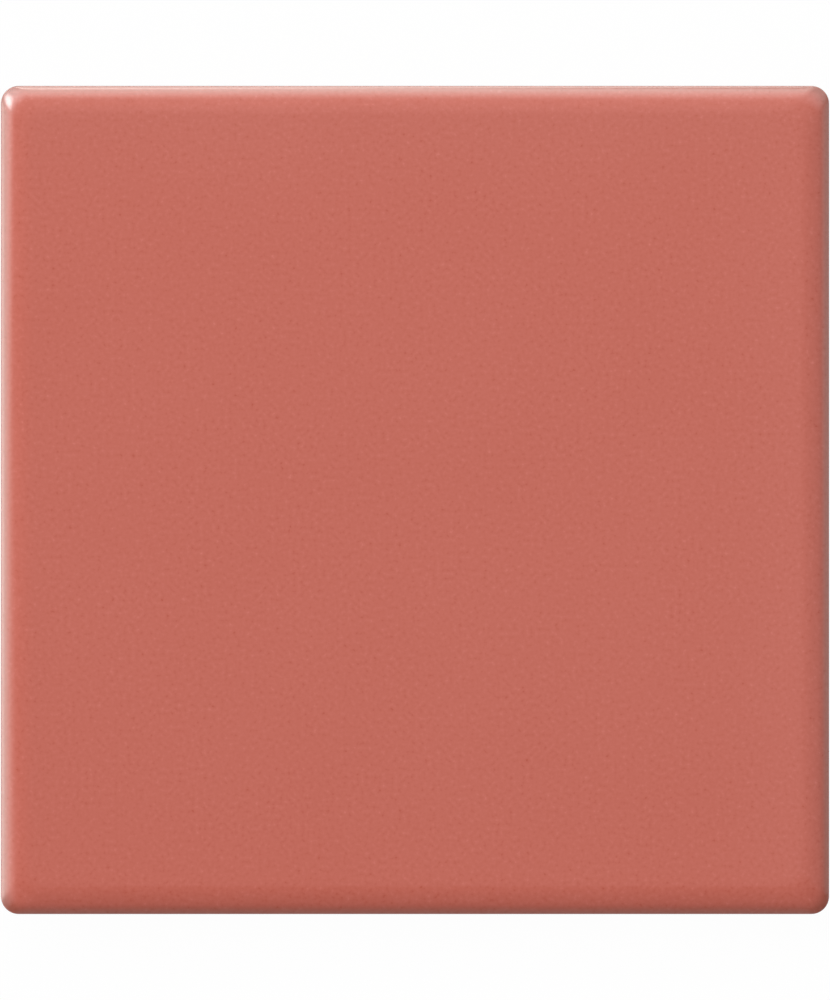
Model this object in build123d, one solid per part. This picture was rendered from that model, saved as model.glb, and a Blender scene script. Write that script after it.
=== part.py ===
from build123d import *
import math
import os

# A square wall tile, dust-pressed and fired as one piece.
# It lies on its back with the glazed face up: the origin is the centre of the back,
# at the level of the ribs that it rests on, with +Z out of the glazed face.

# Driving dimensions, in millimetres
tile_side = 98.0  # made size of the face, for a 100 mm grid with 2 mm joints
tile_thickness = 6.5  # from the ribs on the back to the flat of the face
corner_radius = 2.1  # plan radius of the four corners
cushion_width = 3.6  # how far the rounding of the face reaches in from the sides
cushion_radius = 6.2  # radius of that rounding, in section
arris_radius = 0.2  # radius where that rounding meets the upright sides, in section
back_bevel = 0.6  # bevel round the edge of the back
rim_width = 7.0  # plain border of the back, outside the keying pockets
rib_width = 2.4  # rib between two neighbouring pockets
pockets_per_side = 6  # keying pockets along each side of the back
pocket_depth = 0.5  # depth of a keying pocket
pocket_corner_radius = 1.4  # plan radius of a pocket's corners
pocket_draft = 0.4  # how far a pocket narrows on each side from its mouth to its floor

# Sections that the rounding of the face and the arris are drawn through
cushion_sections = 10
arris_sections = 4

# Angles, levels and spacings that follow from the driving dimensions
steepest_tilt = math.asin((cushion_width - arris_radius) / (cushion_radius - arris_radius))
arris_top = tile_thickness - cushion_radius * (1 - math.cos(steepest_tilt))
side_top = arris_top - arris_radius * math.cos(steepest_tilt)
pocket_pitch = (tile_side - 2 * rim_width + rib_width) / pockets_per_side
pocket_mouth = pocket_pitch - rib_width
pocket_floor = pocket_mouth - 2 * pocket_draft


def rounded_square(side, radius, level):
    """A square with rounded corners, centred on the origin at a level."""
    return Pos(0, 0, level) * RectangleRounded(side, side, radius)


def back_edge():
    """The bevelled slice at the back of the tile."""
    narrow = rounded_square(tile_side - 2 * back_bevel, corner_radius, 0)
    full = rounded_square(tile_side, corner_radius, back_bevel)
    return loft([narrow, full], ruled=True)


def plain_sides():
    """The upright sides, from the bevel to the arris."""
    outline = rounded_square(tile_side, corner_radius, back_bevel)
    return extrude(outline, amount=side_top - back_bevel)


def arris():
    """The tight rounding from the upright sides to the steepest part of the face."""
    sections = []
    for step in range(arris_sections + 1):
        tilt = math.pi / 2 + (steepest_tilt - math.pi / 2) * step / arris_sections
        inset = arris_radius * (1 - math.sin(tilt))
        level = side_top + arris_radius * math.cos(tilt)
        sections.append(rounded_square(tile_side - 2 * inset, corner_radius, level))
    return loft(sections)


def cushioned_face():
    """The rounding of the face, an arc in section that runs out level with the flat inside it."""
    sections = []
    for step in range(cushion_sections + 1):
        tilt = steepest_tilt * (1 - step / cushion_sections)
        inset = cushion_width - cushion_radius * math.sin(tilt)
        level = tile_thickness - cushion_radius * (1 - math.cos(tilt))
        sections.append(rounded_square(tile_side - 2 * inset, corner_radius, level))
    return loft(sections)


def keying_pockets():
    """The grid of shallow drafted pockets that leaves ribs on the back for the adhesive to grip."""
    mouth = rounded_square(pocket_mouth, pocket_corner_radius, 0)
    floor = rounded_square(pocket_floor, pocket_corner_radius, pocket_depth)
    pocket = loft([mouth, floor], ruled=True)
    places = GridLocations(pocket_pitch, pocket_pitch, pockets_per_side, pockets_per_side)
    return [place * pocket for place in places]


tile = back_edge() + plain_sides() + arris() + cushioned_face() - keying_pockets()

os.makedirs("parts", exist_ok=True)
export_step(tile, "parts/tile.step")
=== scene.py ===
"""A square gloss wall tile: its cushioned glazed face, its biscuit sides and its keying back."""

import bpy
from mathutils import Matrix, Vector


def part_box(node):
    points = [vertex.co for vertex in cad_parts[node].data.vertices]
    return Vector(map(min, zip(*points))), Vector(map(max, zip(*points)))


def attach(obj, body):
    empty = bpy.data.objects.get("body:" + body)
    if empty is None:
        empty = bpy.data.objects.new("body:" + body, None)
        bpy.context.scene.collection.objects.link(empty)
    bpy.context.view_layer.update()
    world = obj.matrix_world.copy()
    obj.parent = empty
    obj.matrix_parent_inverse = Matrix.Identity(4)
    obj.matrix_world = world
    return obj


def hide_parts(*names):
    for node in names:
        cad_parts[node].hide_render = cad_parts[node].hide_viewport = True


bl_info = {
    "name": "Gloss wall tile",
    "version": (1, 0, 0),
    "blender": (4, 5, 0),
    "location": "3D View > Sidebar > Tile",
    "description": "Makes a square glazed wall tile and the studio that it lies in",
    "category": "Object",
}

import math

import bmesh
import bpy
from bpy.props import FloatProperty, FloatVectorProperty, IntProperty, PointerProperty
from mathutils import Matrix, Vector, noise

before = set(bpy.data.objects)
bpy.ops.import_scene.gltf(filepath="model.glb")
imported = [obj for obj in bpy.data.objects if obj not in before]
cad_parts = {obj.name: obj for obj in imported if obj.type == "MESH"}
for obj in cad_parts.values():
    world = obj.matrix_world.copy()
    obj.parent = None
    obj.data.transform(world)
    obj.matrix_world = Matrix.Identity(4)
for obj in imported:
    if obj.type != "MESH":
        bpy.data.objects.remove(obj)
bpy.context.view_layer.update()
node_low, node_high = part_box("tile")

# Steps that the curved shapes are drawn with
STEPS_PER_CELL = 14
CORNER_STEPS = 14
CUSHION_STEPS = 40
ARRIS_STEPS = 12
GLAZE_EDGE_STEPS = 5
POCKET_WALL_STEPS = 6

QUARTER_TURN = math.pi / 2
ORIGIN = Vector((0, 0, 0))
UP = Vector((0, 0, 1))

# Two points nearer than this are one, in metres
WELD_DISTANCE = 1e-6

# Faces that meet at more than this angle keep a crisp edge between them
SHARP_ANGLE = math.radians(35)

# The tile's materials, by their place in its mesh
GLAZE = 0
BISCUIT = 1

# Layers of noise in the glaze: waves in a metre, share, and the level that the noise is cut at
GLAZE_LINE_LAYERS = ((60, 1, 0.31), (260, 0.35, 0.77))
GLAZE_WAVE_LAYERS = ((45, 1, 0.13), (140, 0.25, 0.59))

# How finely the textures break up
MOTTLE_DETAIL = 2
CLOUD_DETAIL = 2
PEEL_DETAIL = 1
GRAIN_DETAIL = 4

# The middle value of a noise texture, and the odd power that brings out what is far from it
NOISE_MIDDLE = 0.5
SPECK_POWER = 3

# A tint that keeps all of a colour
FULL_COLOUR = (1, 1, 1)

# How steeply a soft box fades towards its top
BOX_FADE_POWER = 3

# Between which slopes of a direction the ceiling changes towards each edge of the tile
NEAR_CHANGE = (-0.25, -0.03)
FAR_CHANGE = (0.05, 0.4)
RIGHT_CHANGE = (0.1, 0.25)
LEFT_CHANGE = (-0.25, -0.05)

# Slope of a direction at which the white backdrop starts to fade
BACKDROP_FOOT = 0.09

# Share of its reach over which the edge of the dark panel blurs, each way
PANEL_BLUR = 0.05

# Height of the photograph, in pixels
PHOTO_HEIGHT = 1000


def degrees(*angles):
    """Angles given in degrees, in radians."""
    return tuple(math.radians(angle) for angle in angles)


class TileSizes(bpy.types.PropertyGroup):
    """Sizes of the fired body and of the glaze on it."""

    side: FloatProperty(
        name="Side", description="Width of the square face", unit="LENGTH",
        default=node_high.x - node_low.x)
    thickness: FloatProperty(
        name="Thickness", description="From the ribs of the back to the flat of the face", unit="LENGTH",
        default=node_high.z - node_low.z)
    corner_radius: FloatProperty(
        name="Corner radius", description="Plan radius of the four corners", unit="LENGTH",
        default=0.0021)
    cushion_width: FloatProperty(
        name="Cushion width", description="How far the rounding of the face reaches in", unit="LENGTH",
        default=0.0036)
    cushion_radius: FloatProperty(
        name="Cushion radius", description="Radius of that rounding in section", unit="LENGTH",
        default=0.0062)
    arris_radius: FloatProperty(
        name="Arris radius", description="Radius in section where the rounding meets the sides",
        unit="LENGTH", default=0.0002)
    back_bevel: FloatProperty(
        name="Back bevel", description="Bevel round the edge of the back", unit="LENGTH",
        default=0.0006)
    glaze_line: FloatProperty(
        name="Glaze line", description="Height on the sides where the glaze stops", unit="LENGTH",
        default=0.0024)
    glaze_wander: FloatProperty(
        name="Glaze wander", description="How far the glaze line runs up and down", unit="LENGTH",
        default=0.0007)
    glaze_thickness: FloatProperty(
        name="Glaze thickness", description="Step from the glaze to the bare body", unit="LENGTH",
        default=0.00012)
    glaze_edge: FloatProperty(
        name="Glaze edge", description="Height over which the glaze thins out at its line", unit="LENGTH",
        default=0.0003)
    glaze_waves: FloatProperty(
        name="Glaze waves", description="Height of the slow waves in the fired glaze", unit="LENGTH",
        default=0.000012)


class KeyingSizes(bpy.types.PropertyGroup):
    """Sizes of the pockets that key the back into its adhesive."""

    pockets_per_side: IntProperty(
        name="Pockets per side", description="Pockets along each side of the back", default=6)
    rim_width: FloatProperty(
        name="Rim width", description="Plain border outside the pockets", unit="LENGTH",
        default=0.007)
    rib_width: FloatProperty(
        name="Rib width", description="Rib between two pockets", unit="LENGTH",
        default=0.0024)
    depth: FloatProperty(
        name="Depth", description="Depth of a pocket", unit="LENGTH", default=0.0005)
    corner_radius: FloatProperty(
        name="Corner radius", description="Plan radius of a pocket's corners", unit="LENGTH",
        default=0.0014)
    draft: FloatProperty(
        name="Draft", description="How far a pocket narrows on each side", unit="LENGTH",
        default=0.0004)
    soft_edge: FloatProperty(
        name="Soft edge", description="Rounding of a pocket's pressed edges", unit="LENGTH",
        default=0.00015)


class TileFinish(bpy.types.PropertyGroup):
    """Colours and textures of the glaze and of the bare body."""

    glaze_light: FloatVectorProperty(
        name="Light glaze", description="The glaze where its pigment is thin", subtype="COLOR", size=3,
        default=(0.612, 0.179, 0.1405))
    glaze_dark: FloatVectorProperty(
        name="Dark glaze", description="The glaze where its pigment gathers", subtype="COLOR", size=3,
        default=(0.472, 0.092, 0.0568))
    glaze_roughness: FloatProperty(
        name="Glaze roughness", description="Blur of the glaze's reflections", subtype="FACTOR",
        default=0.075)
    glaze_index: FloatProperty(
        name="Glaze index", description="Index of refraction of the glaze", default=1.7)
    mottle_length: FloatProperty(
        name="Mottle length", description="Length of the fine mottle in the glaze", unit="LENGTH",
        default=0.0005)
    mottle_share: FloatProperty(
        name="Mottle share", description="Strength of that mottle", subtype="FACTOR", default=0.48)
    speck_share: FloatProperty(
        name="Speck share", description="Extra strength of the lightest and darkest specks in it",
        default=13.0)
    cloud_share: FloatProperty(
        name="Cloud share", description="Strength of the slow changes of tone", subtype="FACTOR",
        default=0.12)
    cloud_length: FloatProperty(
        name="Cloud length", description="Length of the slow changes of tone", unit="LENGTH",
        default=0.018)
    # Painted shade: this colour darkens the glaze over the rounded edge and down the sides, standing in for
    # the shading there
    painted_edge_shade: FloatVectorProperty(
        name="Edge tint", description="Share of its colour that the glaze keeps over the edge",
        subtype="COLOR", size=3, default=(0.62, 0.70, 0.66))
    # The two depths below the flat between which the painted edge shade comes in
    edge_shade_start: FloatProperty(
        name="Edge start", description="How far below the flat the glaze starts to deepen in tone",
        unit="LENGTH", default=0.00035)
    edge_shade_end: FloatProperty(
        name="Edge end", description="How far below the flat the glaze is deepest in tone", unit="LENGTH",
        default=0.0011)
    peel_length: FloatProperty(
        name="Peel length", description="Length of the faint dimples in the glaze", unit="LENGTH",
        default=0.0032)
    peel_height: FloatProperty(
        name="Peel height", description="Height of those dimples", unit="LENGTH", default=0.000003)
    biscuit_light: FloatVectorProperty(
        name="Light body", description="The bare fired body", subtype="COLOR", size=3,
        default=(0.62, 0.50, 0.39))
    biscuit_dark: FloatVectorProperty(
        name="Dark body", description="The bare fired body where it is dusty or scorched", subtype="COLOR",
        size=3, default=(0.47, 0.35, 0.26))
    biscuit_roughness: FloatProperty(
        name="Body roughness", description="Blur of the bare body's reflections", subtype="FACTOR",
        default=0.9)
    grain_length: FloatProperty(
        name="Grain length", description="Length of the pressed powder's grain", unit="LENGTH",
        default=0.0003)
    grain_height: FloatProperty(
        name="Grain height", description="Height of that grain", unit="LENGTH", default=0.00004)


class StudioSettings(bpy.types.PropertyGroup):
    """The floor, the lamps, the room and the camera."""

    tile_pixels: FloatProperty(
        name="Tile pixels", description="Width of the tile in the photograph's pixels", default=828.2)
    lens: FloatProperty(
        name="Lens", description="Focal length of the camera, in millimetres", default=135.0)
    floor_colour: FloatVectorProperty(
        name="Floor colour", description="The pale floor", subtype="COLOR", size=3,
        default=(0.8, 0.8, 0.8))
    floor_white: FloatProperty(
        name="Floor white", description="Share of plain white on the floor", subtype="FACTOR",
        default=0.975)
    floor_half: FloatProperty(
        name="Floor half", description="From the middle of the floor to its sides", unit="LENGTH",
        default=3.0)
    floor_drop: FloatProperty(
        name="Floor drop", description="From the ribs of the back down to the floor", unit="LENGTH",
        default=0.00002)
    room_light: FloatProperty(
        name="Room light", description="Light from all round", default=0.52)
    ceiling_share: FloatProperty(
        name="Ceiling share", description="Brightness overhead, as a share of white", subtype="FACTOR",
        default=0.55)
    far_share: FloatProperty(
        name="Far share", description="Brightness high up beyond the top edge, as a share of white",
        subtype="FACTOR", default=0.8)
    near_share: FloatProperty(
        name="Near share", description="Brightness high up beyond the bottom edge, as a share of white",
        subtype="FACTOR", default=0.1)
    left_share: FloatProperty(
        name="Left share", description="Brightness high up beyond the left edge, as a share of the ceiling",
        subtype="FACTOR", default=0.75)
    right_share: FloatProperty(
        name="Right share", subtype="FACTOR", default=0.72,
        description="Brightness high up beyond the right edge, as a share of the ceiling")
    panel_share: FloatProperty(
        name="Panel share", subtype="FACTOR", default=0.71,
        description="Brightness of the dark panel over the tile, as a share of the ceiling")
    panel_edge: FloatProperty(
        name="Panel edge", subtype="ANGLE", default=math.radians(5.1),
        description="How far that panel reaches to the top and to the right of the zenith")
    backdrop_top: FloatProperty(
        name="Backdrop top", subtype="ANGLE", default=math.radians(40),
        description="Elevation where the white backdrop has faded out")
    strip_share: FloatProperty(
        name="Strip share", description="Radiance of a low strip, as a share of the soft box above it",
        subtype="FACTOR", default=0.95)
    strip_length: FloatProperty(
        name="Strip length", description="Length of a low strip", unit="LENGTH",
        default=2 * (node_high.x - node_low.x))
    strip_reach: FloatProperty(
        name="Strip reach", description="How far from its middle the light of a low strip would end",
        unit="LENGTH", default=0.215)
    strip_gap: FloatProperty(
        name="Strip gap", description="From a side of the tile to the low strip beside it", unit="LENGTH",
        default=0.012)
    strip_foot: FloatProperty(
        name="Strip foot", description="Height of the foot of a low strip", unit="LENGTH", default=0.0055)
    strip_top: FloatProperty(
        name="Strip top", description="Height of the top of a low strip", unit="LENGTH", default=0.0101)
    box_spread: FloatProperty(
        name="Box spread", description="How far a soft box reaches to each side of its middle",
        subtype="ANGLE", default=math.radians(34))
    box_foot: FloatProperty(
        name="Box foot", description="Elevation of the foot of a soft box", subtype="ANGLE",
        default=math.radians(19.6))
    box_bright: FloatProperty(
        name="Box bright", description="Elevation from which a soft box fades, here below its foot",
        subtype="ANGLE", default=math.radians(7))
    box_top: FloatProperty(
        name="Box top", description="Elevation of the top of a soft box", subtype="ANGLE",
        default=math.radians(58.5))
    box_azimuths: FloatVectorProperty(
        name="Box azimuths", description="Directions of the soft boxes, round from the right edge",
        unit="ROTATION", size=2, default=degrees(92, 180))
    box_lights: FloatVectorProperty(
        name="Box lights", description="Radiance of each soft box", size=2, default=(5.5, 5.1))
    box_colour: FloatVectorProperty(
        name="Box colour", description="Colour of the soft boxes' light", subtype="COLOR", size=3,
        default=(1.0, 0.985, 0.93))
    box_distances: FloatVectorProperty(
        name="Box distances", description="From the tile to each soft box", unit="LENGTH", size=2,
        default=(0.75, 3.5))
    lamp_azimuths: FloatVectorProperty(
        name="Lamp azimuths", description="Directions of the round lamps, round from the right edge",
        unit="ROTATION", size=5, default=degrees(5, 52, 136, 149, 205))
    lamp_elevations: FloatVectorProperty(
        name="Lamp elevations", description="Directions of the round lamps, up from the floor",
        unit="ROTATION", size=5, default=degrees(20, 34, 37, 38, 34))
    lamp_widths: FloatVectorProperty(
        name="Lamp widths", description="How far each round lamp reaches sideways from its middle",
        unit="ROTATION", size=5, default=degrees(18, 36, 38, 16, 24))
    lamp_heights: FloatVectorProperty(
        name="Lamp heights", description="How far each round lamp reaches up and down from its middle",
        unit="ROTATION", size=5, default=degrees(18, 26, 20, 11, 24))
    lamp_lights: FloatVectorProperty(
        name="Lamp lights", description="Radiance of each round lamp", size=5,
        default=(0.65, 1.3, 3.8, 8.0, 1.0))
    lamp_core: FloatProperty(
        name="Lamp core", description="Share of a round lamp's reach before its light falls off",
        subtype="FACTOR", default=0.2)
    lamp_distance: FloatProperty(
        name="Lamp distance", description="From the tile to the round lamps", unit="LENGTH", default=3.0)


def square_border(half, level, steps):
    """Points round a square, each side starting at its corner."""
    points = []
    for quarter in range(4):
        turn = Matrix.Rotation(QUARTER_TURN * quarter, 3, "Z")
        for step in range(steps):
            along = half * (2 * step / steps - 1)
            points.append(turn @ Vector((half, along, level)))
    return points


def rounded_border(half, radius, level, steps):
    """Points round a square with rounded corners, each straight side followed by its corner."""
    straight = half - radius
    points = []
    for quarter in range(4):
        turn = Matrix.Rotation(QUARTER_TURN * quarter, 3, "Z")
        for step in range(steps + 1):
            along = straight * (2 * step / steps - 1)
            points.append(turn @ Vector((half, along, level)))
        for step in range(1, CORNER_STEPS):
            angle = QUARTER_TURN * step / CORNER_STEPS
            across = straight + radius * math.cos(angle)
            along = straight + radius * math.sin(angle)
            points.append(turn @ Vector((across, along, level)))
    return points


def add_ring(shape, points):
    """The vertices of a border."""
    return [shape.verts.new(point) for point in points]


def skin(shape, first, second, material):
    """Faces between two borders that have as many points."""
    count = len(first)
    for place in range(count):
        after = (place + 1) % count
        face = shape.faces.new((first[place], first[after], second[after], second[place]))
        face.material_index = material


def join_square_to_round(shape, square, ring, steps, material):
    """Faces between a square border and a rounded one round it, with a fan at each corner."""
    for quarter in range(4):
        square_start = quarter * steps
        ring_start = quarter * (steps + CORNER_STEPS)
        for step in range(steps):
            inner = square[square_start + step]
            inner_after = square[(square_start + step + 1) % len(square)]
            outer = ring[ring_start + step]
            outer_after = ring[ring_start + step + 1]
            face = shape.faces.new((inner, outer, outer_after, inner_after))
            face.material_index = material
        corner = square[(square_start + steps) % len(square)]
        for step in range(CORNER_STEPS):
            outer = ring[ring_start + steps + step]
            outer_after = ring[(ring_start + steps + step + 1) % len(ring)]
            face = shape.faces.new((corner, outer, outer_after))
            face.material_index = material


def add_flat_of_face(shape, half, level, steps):
    """A lattice of faces over a square, and the vertices of its border in order."""
    rows = []
    for row in range(steps + 1):
        y = half * (2 * row / steps - 1)
        rows.append([shape.verts.new((half * (2 * column / steps - 1), y, level))
                     for column in range(steps + 1)])
    for row in range(steps):
        for column in range(steps):
            face = shape.faces.new((rows[row][column], rows[row][column + 1],
                                    rows[row + 1][column + 1], rows[row + 1][column]))
            face.material_index = GLAZE
    right = [rows[step][steps] for step in range(steps)]
    top = [rows[steps][steps - step] for step in range(steps)]
    left = [rows[steps - step][0] for step in range(steps)]
    bottom = [rows[0][step] for step in range(steps)]
    return right + top + left + bottom


def layered_noise(point, layers):
    """Noise at a point of the plan, summed over its layers."""
    return sum(share * noise.noise(Vector((point.x, point.y, level)) * waves)
               for waves, share, level in layers)


def glaze_line_height(sizes, point):
    """Where the glaze stops on the side, which wanders slowly round the tile."""
    return sizes.glaze_line + sizes.glaze_wander * layered_noise(point, GLAZE_LINE_LAYERS)


def glaze_wave(sizes, point):
    """Height of the fired glaze's slow waves at a point of the face."""
    return sizes.glaze_waves * layered_noise(point, GLAZE_WAVE_LAYERS)


def cushion_profile(sizes):
    """How far in and how high the rounding of the face is, from its flat down to the upright sides."""
    steepest = math.asin((sizes.cushion_width - sizes.arris_radius)
                         / (sizes.cushion_radius - sizes.arris_radius))
    points = []
    for step in range(CUSHION_STEPS + 1):
        tilt = steepest * step / CUSHION_STEPS
        points.append((sizes.cushion_width - sizes.cushion_radius * math.sin(tilt),
                       sizes.thickness - sizes.cushion_radius * (1 - math.cos(tilt))))
    arris_top = points[-1][1]
    for step in range(1, ARRIS_STEPS + 1):
        tilt = steepest + (QUARTER_TURN - steepest) * step / ARRIS_STEPS
        points.append((sizes.arris_radius * (1 - math.sin(tilt)),
                       arris_top - sizes.arris_radius * (math.cos(steepest) - math.cos(tilt))))
    return points


def add_glazed_face(shape, sizes, steps):
    """The flat of the face and its rounding, down to the upright sides. Returns the last border."""
    half = sizes.side / 2
    flat_half = half - sizes.cushion_width
    border = add_flat_of_face(shape, flat_half - sizes.corner_radius, sizes.thickness, steps)
    ring = add_ring(shape, rounded_border(flat_half, sizes.corner_radius, sizes.thickness, steps))
    join_square_to_round(shape, border, ring, steps, GLAZE)
    for inset, level in cushion_profile(sizes)[1:]:
        lower = add_ring(shape, rounded_border(half - inset, sizes.corner_radius, level, steps))
        skin(shape, ring, lower, GLAZE)
        ring = lower
    for vertex in shape.verts:
        vertex.co.z -= sizes.glaze_waves - glaze_wave(sizes, vertex.co)
    return ring


def add_glaze_edge(shape, sizes, steps, ring):
    """The glaze on the sides, thinning to its rounded edge on the bare body. Returns the last border."""
    half = sizes.side / 2
    for step in range(GLAZE_EDGE_STEPS + 1):
        turn = QUARTER_TURN * step / GLAZE_EDGE_STEPS
        inset = sizes.glaze_thickness * (1 - math.cos(turn))
        lift = sizes.glaze_edge * (1 - math.sin(turn))
        points = rounded_border(half - inset, sizes.corner_radius, 0, steps)
        for point in points:
            point.z = glaze_line_height(sizes, point) + lift
        lower = add_ring(shape, points)
        skin(shape, ring, lower, GLAZE)
        ring = lower
    return ring


def add_bare_sides(shape, sizes, steps, ring):
    """The bare sides, the bevel and the edge of the back. Returns the last border."""
    bare_half = sizes.side / 2 - sizes.glaze_thickness
    back_half = bare_half - sizes.back_bevel
    for half, level in ((bare_half, sizes.back_bevel), (back_half, 0)):
        lower = add_ring(shape, rounded_border(half, sizes.corner_radius, level, steps))
        skin(shape, ring, lower, BISCUIT)
        ring = lower
    return ring


def pocket_pitch(sizes, keying):
    """From the middle of one pocket to the middle of the next."""
    field = sizes.side - 2 * keying.rim_width + keying.rib_width
    return field / keying.pockets_per_side


def pocket_cell(sizes, keying):
    """One pocket with half of the ribs round it, as an object. A level ring lies each side of its wall."""
    shape = bmesh.new()
    pitch = pocket_pitch(sizes, keying)
    mouth_half = (pitch - keying.rib_width) / 2
    outer_half = mouth_half + keying.soft_edge
    ramp = keying.draft + 2 * keying.soft_edge
    rings = []
    for step in range(-1, POCKET_WALL_STEPS + 2):
        half = outer_half - ramp * step / POCKET_WALL_STEPS
        share = min(max(step / POCKET_WALL_STEPS, 0), 1)
        level = keying.depth * (1 - math.cos(math.pi * share)) / 2
        rings.append(add_ring(shape, rounded_border(half, keying.corner_radius, level, STEPS_PER_CELL)))
    border = add_ring(shape, square_border(pitch / 2, 0, STEPS_PER_CELL))
    join_square_to_round(shape, border, rings[0], STEPS_PER_CELL, BISCUIT)
    for outer, inner in zip(rings, rings[1:]):
        skin(shape, outer, inner, BISCUIT)
    shape.faces.new(rings[-1])
    mesh = bpy.data.meshes.new("pocket_cell")
    shape.to_mesh(mesh)
    shape.free()
    return bpy.data.objects.new("pocket_cell", mesh)


def add_math(tree, operation, first, second=0):
    """A Math node on a socket and, where it takes two, on a second socket or a number."""
    node = tree.nodes.new("ShaderNodeMath")
    node.operation = operation
    tree.links.new(first, node.inputs[0])
    if isinstance(second, bpy.types.NodeSocket):
        tree.links.new(second, node.inputs[1])
    else:
        node.inputs[1].default_value = second
    return node.outputs[0]


def keying_tree(material):
    """Node tree that lays a cell on a square grid and joins the cells into one back."""
    tree = bpy.data.node_groups.new("Keying back", "GeometryNodeTree")
    tree.interface.new_socket("Cell", in_out="INPUT", socket_type="NodeSocketObject")
    tree.interface.new_socket("Pitch", in_out="INPUT", socket_type="NodeSocketFloat")
    tree.interface.new_socket("Pockets per side", in_out="INPUT", socket_type="NodeSocketInt")
    tree.interface.new_socket("Geometry", in_out="OUTPUT", socket_type="NodeSocketGeometry")
    nodes = tree.nodes
    links = tree.links
    sizes_in = nodes.new("NodeGroupInput")
    grid = nodes.new("GeometryNodeMeshGrid")
    cell = nodes.new("GeometryNodeObjectInfo")
    lay = nodes.new("GeometryNodeInstanceOnPoints")
    realize = nodes.new("GeometryNodeRealizeInstances")
    weld = nodes.new("GeometryNodeMergeByDistance")
    weld.inputs["Distance"].default_value = WELD_DISTANCE
    paint = nodes.new("GeometryNodeSetMaterial")
    paint.inputs["Material"].default_value = material
    made = nodes.new("NodeGroupOutput")
    # The grid spans one pitch fewer than there are pockets
    gaps = add_math(tree, "SUBTRACT", sizes_in.outputs["Pockets per side"], 1)
    span = add_math(tree, "MULTIPLY", gaps, sizes_in.outputs["Pitch"])
    for direction in ("X", "Y"):
        links.new(span, grid.inputs[f"Size {direction}"])
        links.new(sizes_in.outputs["Pockets per side"], grid.inputs[f"Vertices {direction}"])
    links.new(sizes_in.outputs["Cell"], cell.inputs["Object"])
    links.new(grid.outputs["Mesh"], lay.inputs["Points"])
    links.new(cell.outputs["Geometry"], lay.inputs["Instance"])
    links.new(lay.outputs["Instances"], realize.inputs["Geometry"])
    links.new(realize.outputs["Geometry"], weld.inputs["Geometry"])
    links.new(weld.outputs["Geometry"], paint.inputs["Geometry"])
    links.new(paint.outputs["Geometry"], made.inputs["Geometry"])
    return tree


def set_tree_input(modifier, name, value):
    """Sets a node tree's named input on its modifier."""
    for socket in modifier.node_group.interface.items_tree:
        if socket.item_type == "SOCKET" and socket.in_out == "INPUT" and socket.name == name:
            modifier[socket.identifier] = value
            return
    raise KeyError(f"the node tree has no input named {name}")


def keying_mesh(context, sizes, keying, material):
    """The grid of pockets and ribs on the back, as one mesh."""
    cell = pocket_cell(sizes, keying)
    context.collection.objects.link(cell)
    carrier = bpy.data.objects.new("keying_back", bpy.data.meshes.new("keying_back"))
    context.collection.objects.link(carrier)
    modifier = carrier.modifiers.new("Keying back", "NODES")
    modifier.node_group = keying_tree(material)
    set_tree_input(modifier, "Cell", cell)
    set_tree_input(modifier, "Pitch", pocket_pitch(sizes, keying))
    set_tree_input(modifier, "Pockets per side", keying.pockets_per_side)
    carrier.update_tag()
    depsgraph = context.evaluated_depsgraph_get()
    depsgraph.update()
    mesh = bpy.data.meshes.new_from_object(carrier.evaluated_get(depsgraph))
    carrier.modifiers.remove(modifier)
    bpy.data.objects.remove(carrier)
    bpy.data.objects.remove(cell)
    return mesh


def add_keying_back(context, shape, sizes, keying, steps, ring, material):
    """The plain border of the back, and the pockets and ribs inside it."""
    field_half = pocket_pitch(sizes, keying) * keying.pockets_per_side / 2
    border = add_ring(shape, square_border(field_half, 0, steps))
    join_square_to_round(shape, border, ring, steps, BISCUIT)
    mesh = keying_mesh(context, sizes, keying, material)
    count_before = len(shape.faces)
    shape.from_mesh(mesh)
    bpy.data.meshes.remove(mesh)
    shape.faces.ensure_lookup_table()
    for face in shape.faces[count_before:]:
        face.material_index = BISCUIT
    bmesh.ops.remove_doubles(shape, verts=shape.verts, dist=WELD_DISTANCE)


def close_mesh(shape, name):
    """The finished shape as a mesh with its faces outwards. A hole in it is an error."""
    bmesh.ops.recalc_face_normals(shape, faces=shape.faces)
    if any(not edge.is_manifold for edge in shape.edges):
        raise RuntimeError(f"{name} isn't closed")
    if shape.calc_volume(signed=True) < 0:
        bmesh.ops.reverse_faces(shape, faces=shape.faces)
    for face in shape.faces:
        face.smooth = True
    mesh = bpy.data.meshes.new(name)
    shape.to_mesh(mesh)
    shape.free()
    mesh.set_sharp_from_angle(angle=SHARP_ANGLE)
    return mesh


def new_material(name):
    """An empty node material, its tree and the shader at its end."""
    material = bpy.data.materials.new(name)
    material.use_nodes = True
    tree = material.node_tree
    tree.nodes.clear()
    shader = tree.nodes.new("ShaderNodeBsdfPrincipled")
    output = tree.nodes.new("ShaderNodeOutputMaterial")
    tree.links.new(shader.outputs["BSDF"], output.inputs["Surface"])
    return material, tree, shader


def add_noise(tree, coordinates, length, detail):
    """A noise texture whose features are about a length across."""
    texture = tree.nodes.new("ShaderNodeTexNoise")
    texture.inputs["Scale"].default_value = 1 / length
    texture.inputs["Detail"].default_value = detail
    tree.links.new(coordinates.outputs["Object"], texture.inputs["Vector"])
    return texture.outputs["Fac"]


def add_ramp(tree, value, start, end, first, last):
    """A smooth change from a first number to a last one as a value goes from a start to an end."""
    ramp = tree.nodes.new("ShaderNodeMapRange")
    ramp.interpolation_type = "SMOOTHSTEP"
    ramp.inputs["From Min"].default_value = start
    ramp.inputs["From Max"].default_value = end
    ramp.inputs["To Min"].default_value = first
    ramp.inputs["To Max"].default_value = last
    tree.links.new(value, ramp.inputs["Value"])
    return ramp.outputs["Result"]


def add_fall(tree, value, start, end):
    """A smooth fall from 1 to nothing as a value goes from a start to an end."""
    return add_ramp(tree, value, start, end, 1, 0)


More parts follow.
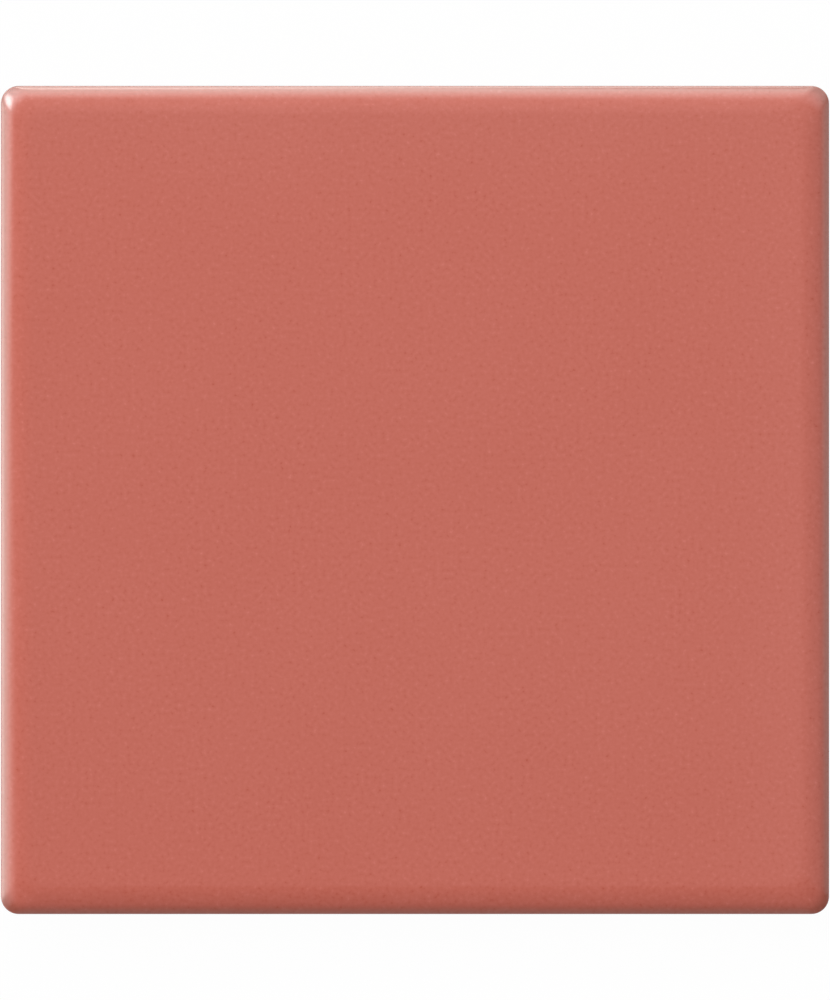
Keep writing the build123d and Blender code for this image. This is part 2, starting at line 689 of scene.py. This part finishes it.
def colour_socket(mix, name):
    """A Mix node's colour socket, which shares its name with those of other types."""
    sockets = mix.outputs if name == "Result" else mix.inputs
    return next(socket for socket in sockets if socket.name == name and socket.type == "RGBA")


def add_colour_mix(tree, factor, first, last):
    """A mix of two colours, all of the first one at 0 and all of the last one at 1."""
    mix = tree.nodes.new("ShaderNodeMix")
    mix.data_type = "RGBA"
    colour_socket(mix, "A").default_value = (*first, 1)
    colour_socket(mix, "B").default_value = (*last, 1)
    tree.links.new(factor, mix.inputs["Factor"])
    return colour_socket(mix, "Result")


def add_bump(tree, shader, relief, height):
    """Gives a shader a fine relief of a height."""
    bump = tree.nodes.new("ShaderNodeBump")
    bump.inputs["Strength"].default_value = 1
    bump.inputs["Distance"].default_value = height
    tree.links.new(relief, bump.inputs["Height"])
    tree.links.new(bump.outputs["Normal"], shader.inputs["Normal"])


def painted_edge_shade(tree, coordinates, sizes, finish):
    """Share of its colour that the glaze keeps: painted shade that makes it darker over the edge and on the
    sides than on the flat.
    """
    parts = tree.nodes.new("ShaderNodeSeparateXYZ")
    tree.links.new(coordinates.outputs["Object"], parts.inputs[0])
    start_level = sizes.thickness - finish.edge_shade_start
    end_level = sizes.thickness - finish.edge_shade_end
    on_flat = add_fall(tree, parts.outputs["Z"], start_level, end_level)
    return add_colour_mix(tree, on_flat, finish.painted_edge_shade, FULL_COLOUR)


def glaze_pigment(tree, coordinates, finish):
    """How light the glaze is: a fine mottle with specks in it, over slow clouds."""
    mottle = add_noise(tree, coordinates, finish.mottle_length, MOTTLE_DETAIL)
    clouds = add_noise(tree, coordinates, finish.cloud_length, CLOUD_DETAIL)
    grain = add_math(tree, "SUBTRACT", mottle, NOISE_MIDDLE)
    faint = add_math(tree, "MULTIPLY", grain, finish.mottle_share)
    specks = add_math(tree, "MULTIPLY", add_math(tree, "POWER", grain, SPECK_POWER), finish.speck_share)
    drift = add_math(tree, "MULTIPLY", clouds, finish.cloud_share)
    pigment = add_math(tree, "ADD", add_math(tree, "ADD", faint, specks), drift)
    return add_math(tree, "ADD", pigment, NOISE_MIDDLE * (1 - finish.cloud_share))


def glaze_material(sizes, finish):
    """Gloss coral glaze: a fine mottle of pigment over slow clouds, with painted shade over the edge and
    sides, under a smooth fired skin.
    """
    material, tree, shader = new_material("coral_glaze")
    coordinates = tree.nodes.new("ShaderNodeTexCoord")
    pigment = glaze_pigment(tree, coordinates, finish)
    # Painted shade: the mottled glaze colour is multiplied by the darker edge colour over the edge and the
    # sides
    edge_shading = tree.nodes.new("ShaderNodeVectorMath")
    edge_shading.operation = "MULTIPLY"
    tree.links.new(add_colour_mix(tree, pigment, finish.glaze_dark, finish.glaze_light), edge_shading.inputs[0])
    tree.links.new(painted_edge_shade(tree, coordinates, sizes, finish), edge_shading.inputs[1])
    tree.links.new(edge_shading.outputs["Vector"], shader.inputs["Base Color"])
    shader.inputs["Roughness"].default_value = finish.glaze_roughness
    shader.inputs["IOR"].default_value = finish.glaze_index
    peel = add_noise(tree, coordinates, finish.peel_length, PEEL_DETAIL)
    add_bump(tree, shader, peel, finish.peel_height)
    return material


def biscuit_material(finish):
    """Bare fired body: pale buff powder, pressed and slightly scorched, with an open grain."""
    material, tree, shader = new_material("fired_body")
    coordinates = tree.nodes.new("ShaderNodeTexCoord")
    grain = add_noise(tree, coordinates, finish.grain_length, GRAIN_DETAIL)
    colour = add_colour_mix(tree, grain, finish.biscuit_dark, finish.biscuit_light)
    tree.links.new(colour, shader.inputs["Base Color"])
    shader.inputs["Roughness"].default_value = finish.biscuit_roughness
    add_bump(tree, shader, grain, finish.grain_height)
    return material


class WALLTILE_OT_make_tile(bpy.types.Operator):
    """Make the tile: its glazed face and sides, and its bare body with the keying back"""

    bl_idname = "wall_tile.make_tile"
    bl_label = "Make the tile"

    def execute(self, context):
        sizes = context.scene.tile_sizes
        keying = context.scene.tile_keying
        finish = context.scene.tile_finish
        steps = STEPS_PER_CELL * keying.pockets_per_side
        glaze = glaze_material(sizes, finish)
        biscuit = biscuit_material(finish)
        shape = bmesh.new()
        ring = add_glazed_face(shape, sizes, steps)
        ring = add_glaze_edge(shape, sizes, steps, ring)
        ring = add_bare_sides(shape, sizes, steps, ring)
        add_keying_back(context, shape, sizes, keying, steps, ring, biscuit)
        tile = bpy.data.objects.new("wall_tile", close_mesh(shape, "wall_tile"))
        tile.data.materials.append(glaze)
        tile.data.materials.append(biscuit)
        context.collection.objects.link(tile)
        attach(tile, "root")
        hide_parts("tile")
        return {"FINISHED"}


def seen_share(tree):
    """1 on a ray from the camera or off a mirror or through glass, and 0 on a ray that lights a surface."""
    path = tree.nodes.new("ShaderNodeLightPath")
    seen = add_math(tree, "MAXIMUM", path.outputs["Is Camera Ray"], path.outputs["Is Glossy Ray"])
    return add_math(tree, "MAXIMUM", seen, path.outputs["Is Transmission Ray"])


def floor_material(studio):
    """Pale floor that is seen as white, with the shadows kept faintly."""
    material = bpy.data.materials.new("pale_floor")
    material.use_nodes = True
    tree = material.node_tree
    tree.nodes.clear()
    plain = tree.nodes.new("ShaderNodeBsdfDiffuse")
    plain.inputs["Color"].default_value = (*studio.floor_colour, 1)
    white = tree.nodes.new("ShaderNodeEmission")
    mix = tree.nodes.new("ShaderNodeMixShader")
    output = tree.nodes.new("ShaderNodeOutputMaterial")
    tree.links.new(add_math(tree, "MULTIPLY", seen_share(tree), studio.floor_white), mix.inputs[0])
    tree.links.new(plain.outputs[0], mix.inputs[1])
    tree.links.new(white.outputs[0], mix.inputs[2])
    tree.links.new(mix.outputs[0], output.inputs["Surface"])
    return material


def add_floor(context, studio):
    """A wide floor just under the ribs of the back."""
    half = studio.floor_half
    level = -studio.floor_drop
    corners = [(-half, -half, level), (half, -half, level), (half, half, level), (-half, half, level)]
    mesh = bpy.data.meshes.new("floor")
    mesh.from_pydata(corners, [], [(0, 1, 2, 3)])
    mesh.materials.append(floor_material(studio))
    floor = bpy.data.objects.new("floor", mesh)
    context.collection.objects.link(floor)


def new_lamp(context, name, outward, shape, width, height, radiance):
    """A lamp that faces back along a direction out from the tile, with the power for its radiance."""
    data = bpy.data.lights.new(name, "AREA")
    data.shape = shape
    data.size = width
    data.size_y = height
    area = width * height * (math.pi / 4 if shape == "ELLIPSE" else 1)
    data.energy = radiance * math.pi * area
    data.use_nodes = True
    lamp = bpy.data.objects.new(name, data)
    lamp.rotation_euler = outward.to_track_quat("Z", "Y").to_euler()
    lamp.visible_camera = False
    context.collection.objects.link(lamp)
    return lamp


def lamp_strength(data):
    """A lamp's node tree, the socket that takes its strength, and where on the lamp it is."""
    tree = data.node_tree
    emission = next(node for node in tree.nodes if node.type == "EMISSION")
    geometry = tree.nodes.new("ShaderNodeNewGeometry")
    return tree, emission.inputs["Strength"], geometry.outputs["Position"]


def add_reach(tree, position, middle, axis):
    """How far a place is from a middle along an axis."""
    offset = tree.nodes.new("ShaderNodeVectorMath")
    offset.operation = "SUBTRACT"
    offset.inputs[1].default_value = middle
    tree.links.new(position, offset.inputs[0])
    reach = tree.nodes.new("ShaderNodeVectorMath")
    reach.operation = "DOT_PRODUCT"
    reach.inputs[1].default_value = axis
    tree.links.new(offset.outputs["Vector"], reach.inputs[0])
    return reach.outputs["Value"]


def add_sideways_fall(tree, position, across, end):
    """A smooth fall from a lamp's middle to both of its sides."""
    off_middle = add_math(tree, "ABSOLUTE", add_reach(tree, position, ORIGIN, across))
    return add_fall(tree, off_middle, 0, end)


def level_directions(azimuth):
    """The level direction out from the tile at an azimuth, and the one across it."""
    outward = Vector((math.cos(azimuth), math.sin(azimuth), 0))
    across = Vector((-math.sin(azimuth), math.cos(azimuth), 0))
    return outward, across


def add_soft_box(context, studio, place):
    """A tall soft box that hangs above the floor, brightest at the middle of its foot."""
    outward, across = level_directions(studio.box_azimuths[place])
    distance = studio.box_distances[place]
    half_width = distance * math.tan(studio.box_spread)
    foot = distance * math.tan(studio.box_foot)
    bright = distance * math.tan(studio.box_bright)
    top = distance * math.tan(studio.box_top)
    lamp = new_lamp(context, f"soft_box_{place}", outward, "RECTANGLE", 2 * half_width, top - foot,
                    studio.box_lights[place])
    lamp.location = outward * distance + UP * (foot + top) / 2
    lamp.data.color = studio.box_colour
    tree, strength, position = lamp_strength(lamp.data)
    level = add_reach(tree, position, ORIGIN, UP)
    fade_up = add_math(tree, "POWER", add_fall(tree, level, bright, top), BOX_FADE_POWER)
    fade_out = add_sideways_fall(tree, position, across, half_width)
    tree.links.new(add_math(tree, "MULTIPLY", fade_up, fade_out), strength)


def add_low_strip(context, sizes, studio, place):
    """A narrow strip close to a side of the tile, which only its reflection on the edge shows."""
    outward, across = level_directions(studio.box_azimuths[place])
    height = studio.strip_top - studio.strip_foot
    middle_level = (studio.strip_foot + studio.strip_top) / 2
    radiance = studio.box_lights[place] * studio.strip_share
    lamp = new_lamp(context, f"low_strip_{place}", outward, "RECTANGLE", studio.strip_length, height,
                    radiance)
    lamp.location = outward * (sizes.side / 2 + studio.strip_gap) + UP * middle_level
    lamp.data.color = studio.box_colour
    lamp.visible_diffuse = False
    tree, strength, position = lamp_strength(lamp.data)
    tree.links.new(add_sideways_fall(tree, position, across, studio.strip_reach), strength)


def add_round_lamp(context, studio, place):
    """A round or oval lamp up in the room, brightest at its middle."""
    level_out, across = level_directions(studio.lamp_azimuths[place])
    elevation = studio.lamp_elevations[place]
    outward = level_out * math.cos(elevation) + UP * math.sin(elevation)
    half_width = studio.lamp_distance * math.tan(studio.lamp_widths[place])
    half_height = studio.lamp_distance * math.tan(studio.lamp_heights[place])
    lamp = new_lamp(context, f"round_lamp_{place}", outward, "ELLIPSE", 2 * half_width, 2 * half_height,
                    studio.lamp_lights[place])
    lamp.location = outward * studio.lamp_distance
    tree, strength, position = lamp_strength(lamp.data)
    sideways = add_reach(tree, position, lamp.location, across / half_width)
    upwards = add_reach(tree, position, lamp.location, outward.cross(across) / half_height)
    squares = [add_math(tree, "MULTIPLY", reach, reach) for reach in (sideways, upwards)]
    off_middle = add_math(tree, "SQRT", add_math(tree, "ADD", *squares))
    tree.links.new(add_fall(tree, off_middle, studio.lamp_core, 1), strength)


def add_panel(tree, parts, studio):
    """Share of the brightness that a dark panel over the tile leaves, up to its edges beyond the zenith."""
    edge = math.sin(studio.panel_edge)
    start = (1 - PANEL_BLUR) * edge
    end = (1 + PANEL_BLUR) * edge
    falls = [add_fall(tree, parts.outputs[axis], start, end) for axis in ("X", "Y")]
    return add_ramp(tree, add_math(tree, "MULTIPLY", *falls), 0, 1, 1, studio.panel_share)


def room_brightness(tree, direction, studio):
    """What is seen of the room: a white backdrop, and a dimmer ceiling that changes from side to side."""
    parts = tree.nodes.new("ShaderNodeSeparateXYZ")
    tree.links.new(direction, parts.inputs[0])
    near = add_ramp(tree, parts.outputs["Y"], *NEAR_CHANGE, studio.near_share, studio.ceiling_share)
    far = add_ramp(tree, parts.outputs["Y"], *FAR_CHANGE, 0, studio.far_share - studio.ceiling_share)
    right = add_ramp(tree, parts.outputs["X"], *RIGHT_CHANGE, 1, studio.right_share)
    left = add_ramp(tree, parts.outputs["X"], *LEFT_CHANGE, studio.left_share, 1)
    ceiling = add_math(tree, "ADD", near, far)
    for share in (right, left, add_panel(tree, parts, studio)):
        ceiling = add_math(tree, "MULTIPLY", ceiling, share)
    backdrop = add_fall(tree, parts.outputs["Z"], BACKDROP_FOOT, math.sin(studio.backdrop_top))
    return add_math(tree, "MAXIMUM", ceiling, backdrop)


def add_world(context, studio):
    """Soft light from all round, seen as a white backdrop under a dimmer ceiling."""
    world = bpy.data.worlds.new("room")
    world.use_nodes = True
    tree = world.node_tree
    tree.nodes.clear()
    direction = tree.nodes.new("ShaderNodeTexCoord").outputs["Generated"]
    room = tree.nodes.new("ShaderNodeBackground")
    room.inputs["Strength"].default_value = studio.room_light
    backdrop = tree.nodes.new("ShaderNodeBackground")
    tree.links.new(room_brightness(tree, direction, studio), backdrop.inputs["Strength"])
    mix = tree.nodes.new("ShaderNodeMixShader")
    output = tree.nodes.new("ShaderNodeOutputWorld")
    tree.links.new(seen_share(tree), mix.inputs[0])
    tree.links.new(room.outputs[0], mix.inputs[1])
    tree.links.new(backdrop.outputs[0], mix.inputs[2])
    tree.links.new(mix.outputs[0], output.inputs["Surface"])
    context.scene.world = world


def add_camera(context, sizes, studio):
    """A camera straight above the tile, at the distance that gives the photograph's scale."""
    data = bpy.data.cameras.new("camera")
    data.lens = studio.lens
    view_height = sizes.side * PHOTO_HEIGHT / studio.tile_pixels
    distance = view_height * data.lens / data.sensor_width
    camera = bpy.data.objects.new("camera", data)
    outline_level = cushion_profile(sizes)[-1][1]
    camera.location = (0, 0, outline_level + distance)
    context.collection.objects.link(camera)
    context.scene.camera = camera


class WALLTILE_OT_make_studio(bpy.types.Operator):
    """Make the floor, the lamps, the room and the camera"""

    bl_idname = "wall_tile.make_studio"
    bl_label = "Make the studio"

    def execute(self, context):
        sizes = context.scene.tile_sizes
        studio = context.scene.tile_studio
        add_floor(context, studio)
        for place in range(len(studio.box_lights)):
            add_soft_box(context, studio, place)
            add_low_strip(context, sizes, studio, place)
        for place in range(len(studio.lamp_lights)):
            add_round_lamp(context, studio, place)
        add_world(context, studio)
        add_camera(context, sizes, studio)
        context.scene.view_settings.view_transform = "Standard"
        return {"FINISHED"}


class WALLTILE_PT_tile(bpy.types.Panel):
    """Lists the tile's sizes and finishes, the studio's settings and what makes them"""

    bl_idname = "WALLTILE_PT_tile"
    bl_label = "Wall tile"
    bl_space_type = "VIEW_3D"
    bl_region_type = "UI"
    bl_category = "Tile"

    def draw(self, context):
        groups = (context.scene.tile_sizes, context.scene.tile_keying,
                  context.scene.tile_finish, context.scene.tile_studio)
        for group in groups:
            box = self.layout.box()
            for name in group.__annotations__:
                box.prop(group, name)
        self.layout.operator(WALLTILE_OT_make_tile.bl_idname)
        self.layout.operator(WALLTILE_OT_make_studio.bl_idname)


CLASSES = (
    TileSizes,
    KeyingSizes,
    TileFinish,
    StudioSettings,
    WALLTILE_OT_make_tile,
    WALLTILE_OT_make_studio,
    WALLTILE_PT_tile,
)


def register():
    """Registers the classes and hangs the settings on the scene."""
    for item in CLASSES:
        bpy.utils.register_class(item)
    bpy.types.Scene.tile_sizes = PointerProperty(type=TileSizes)
    bpy.types.Scene.tile_keying = PointerProperty(type=KeyingSizes)
    bpy.types.Scene.tile_finish = PointerProperty(type=TileFinish)
    bpy.types.Scene.tile_studio = PointerProperty(type=StudioSettings)


def unregister():
    """Takes the settings off the scene and the classes out."""
    del bpy.types.Scene.tile_studio
    del bpy.types.Scene.tile_finish
    del bpy.types.Scene.tile_keying
    del bpy.types.Scene.tile_sizes
    for item in reversed(CLASSES):
        bpy.utils.unregister_class(item)


def main():
    """Makes the tile and its studio."""
    register()
    bpy.ops.wall_tile.make_tile()
    bpy.ops.wall_tile.make_studio()


if __name__ == "__main__":
    main()
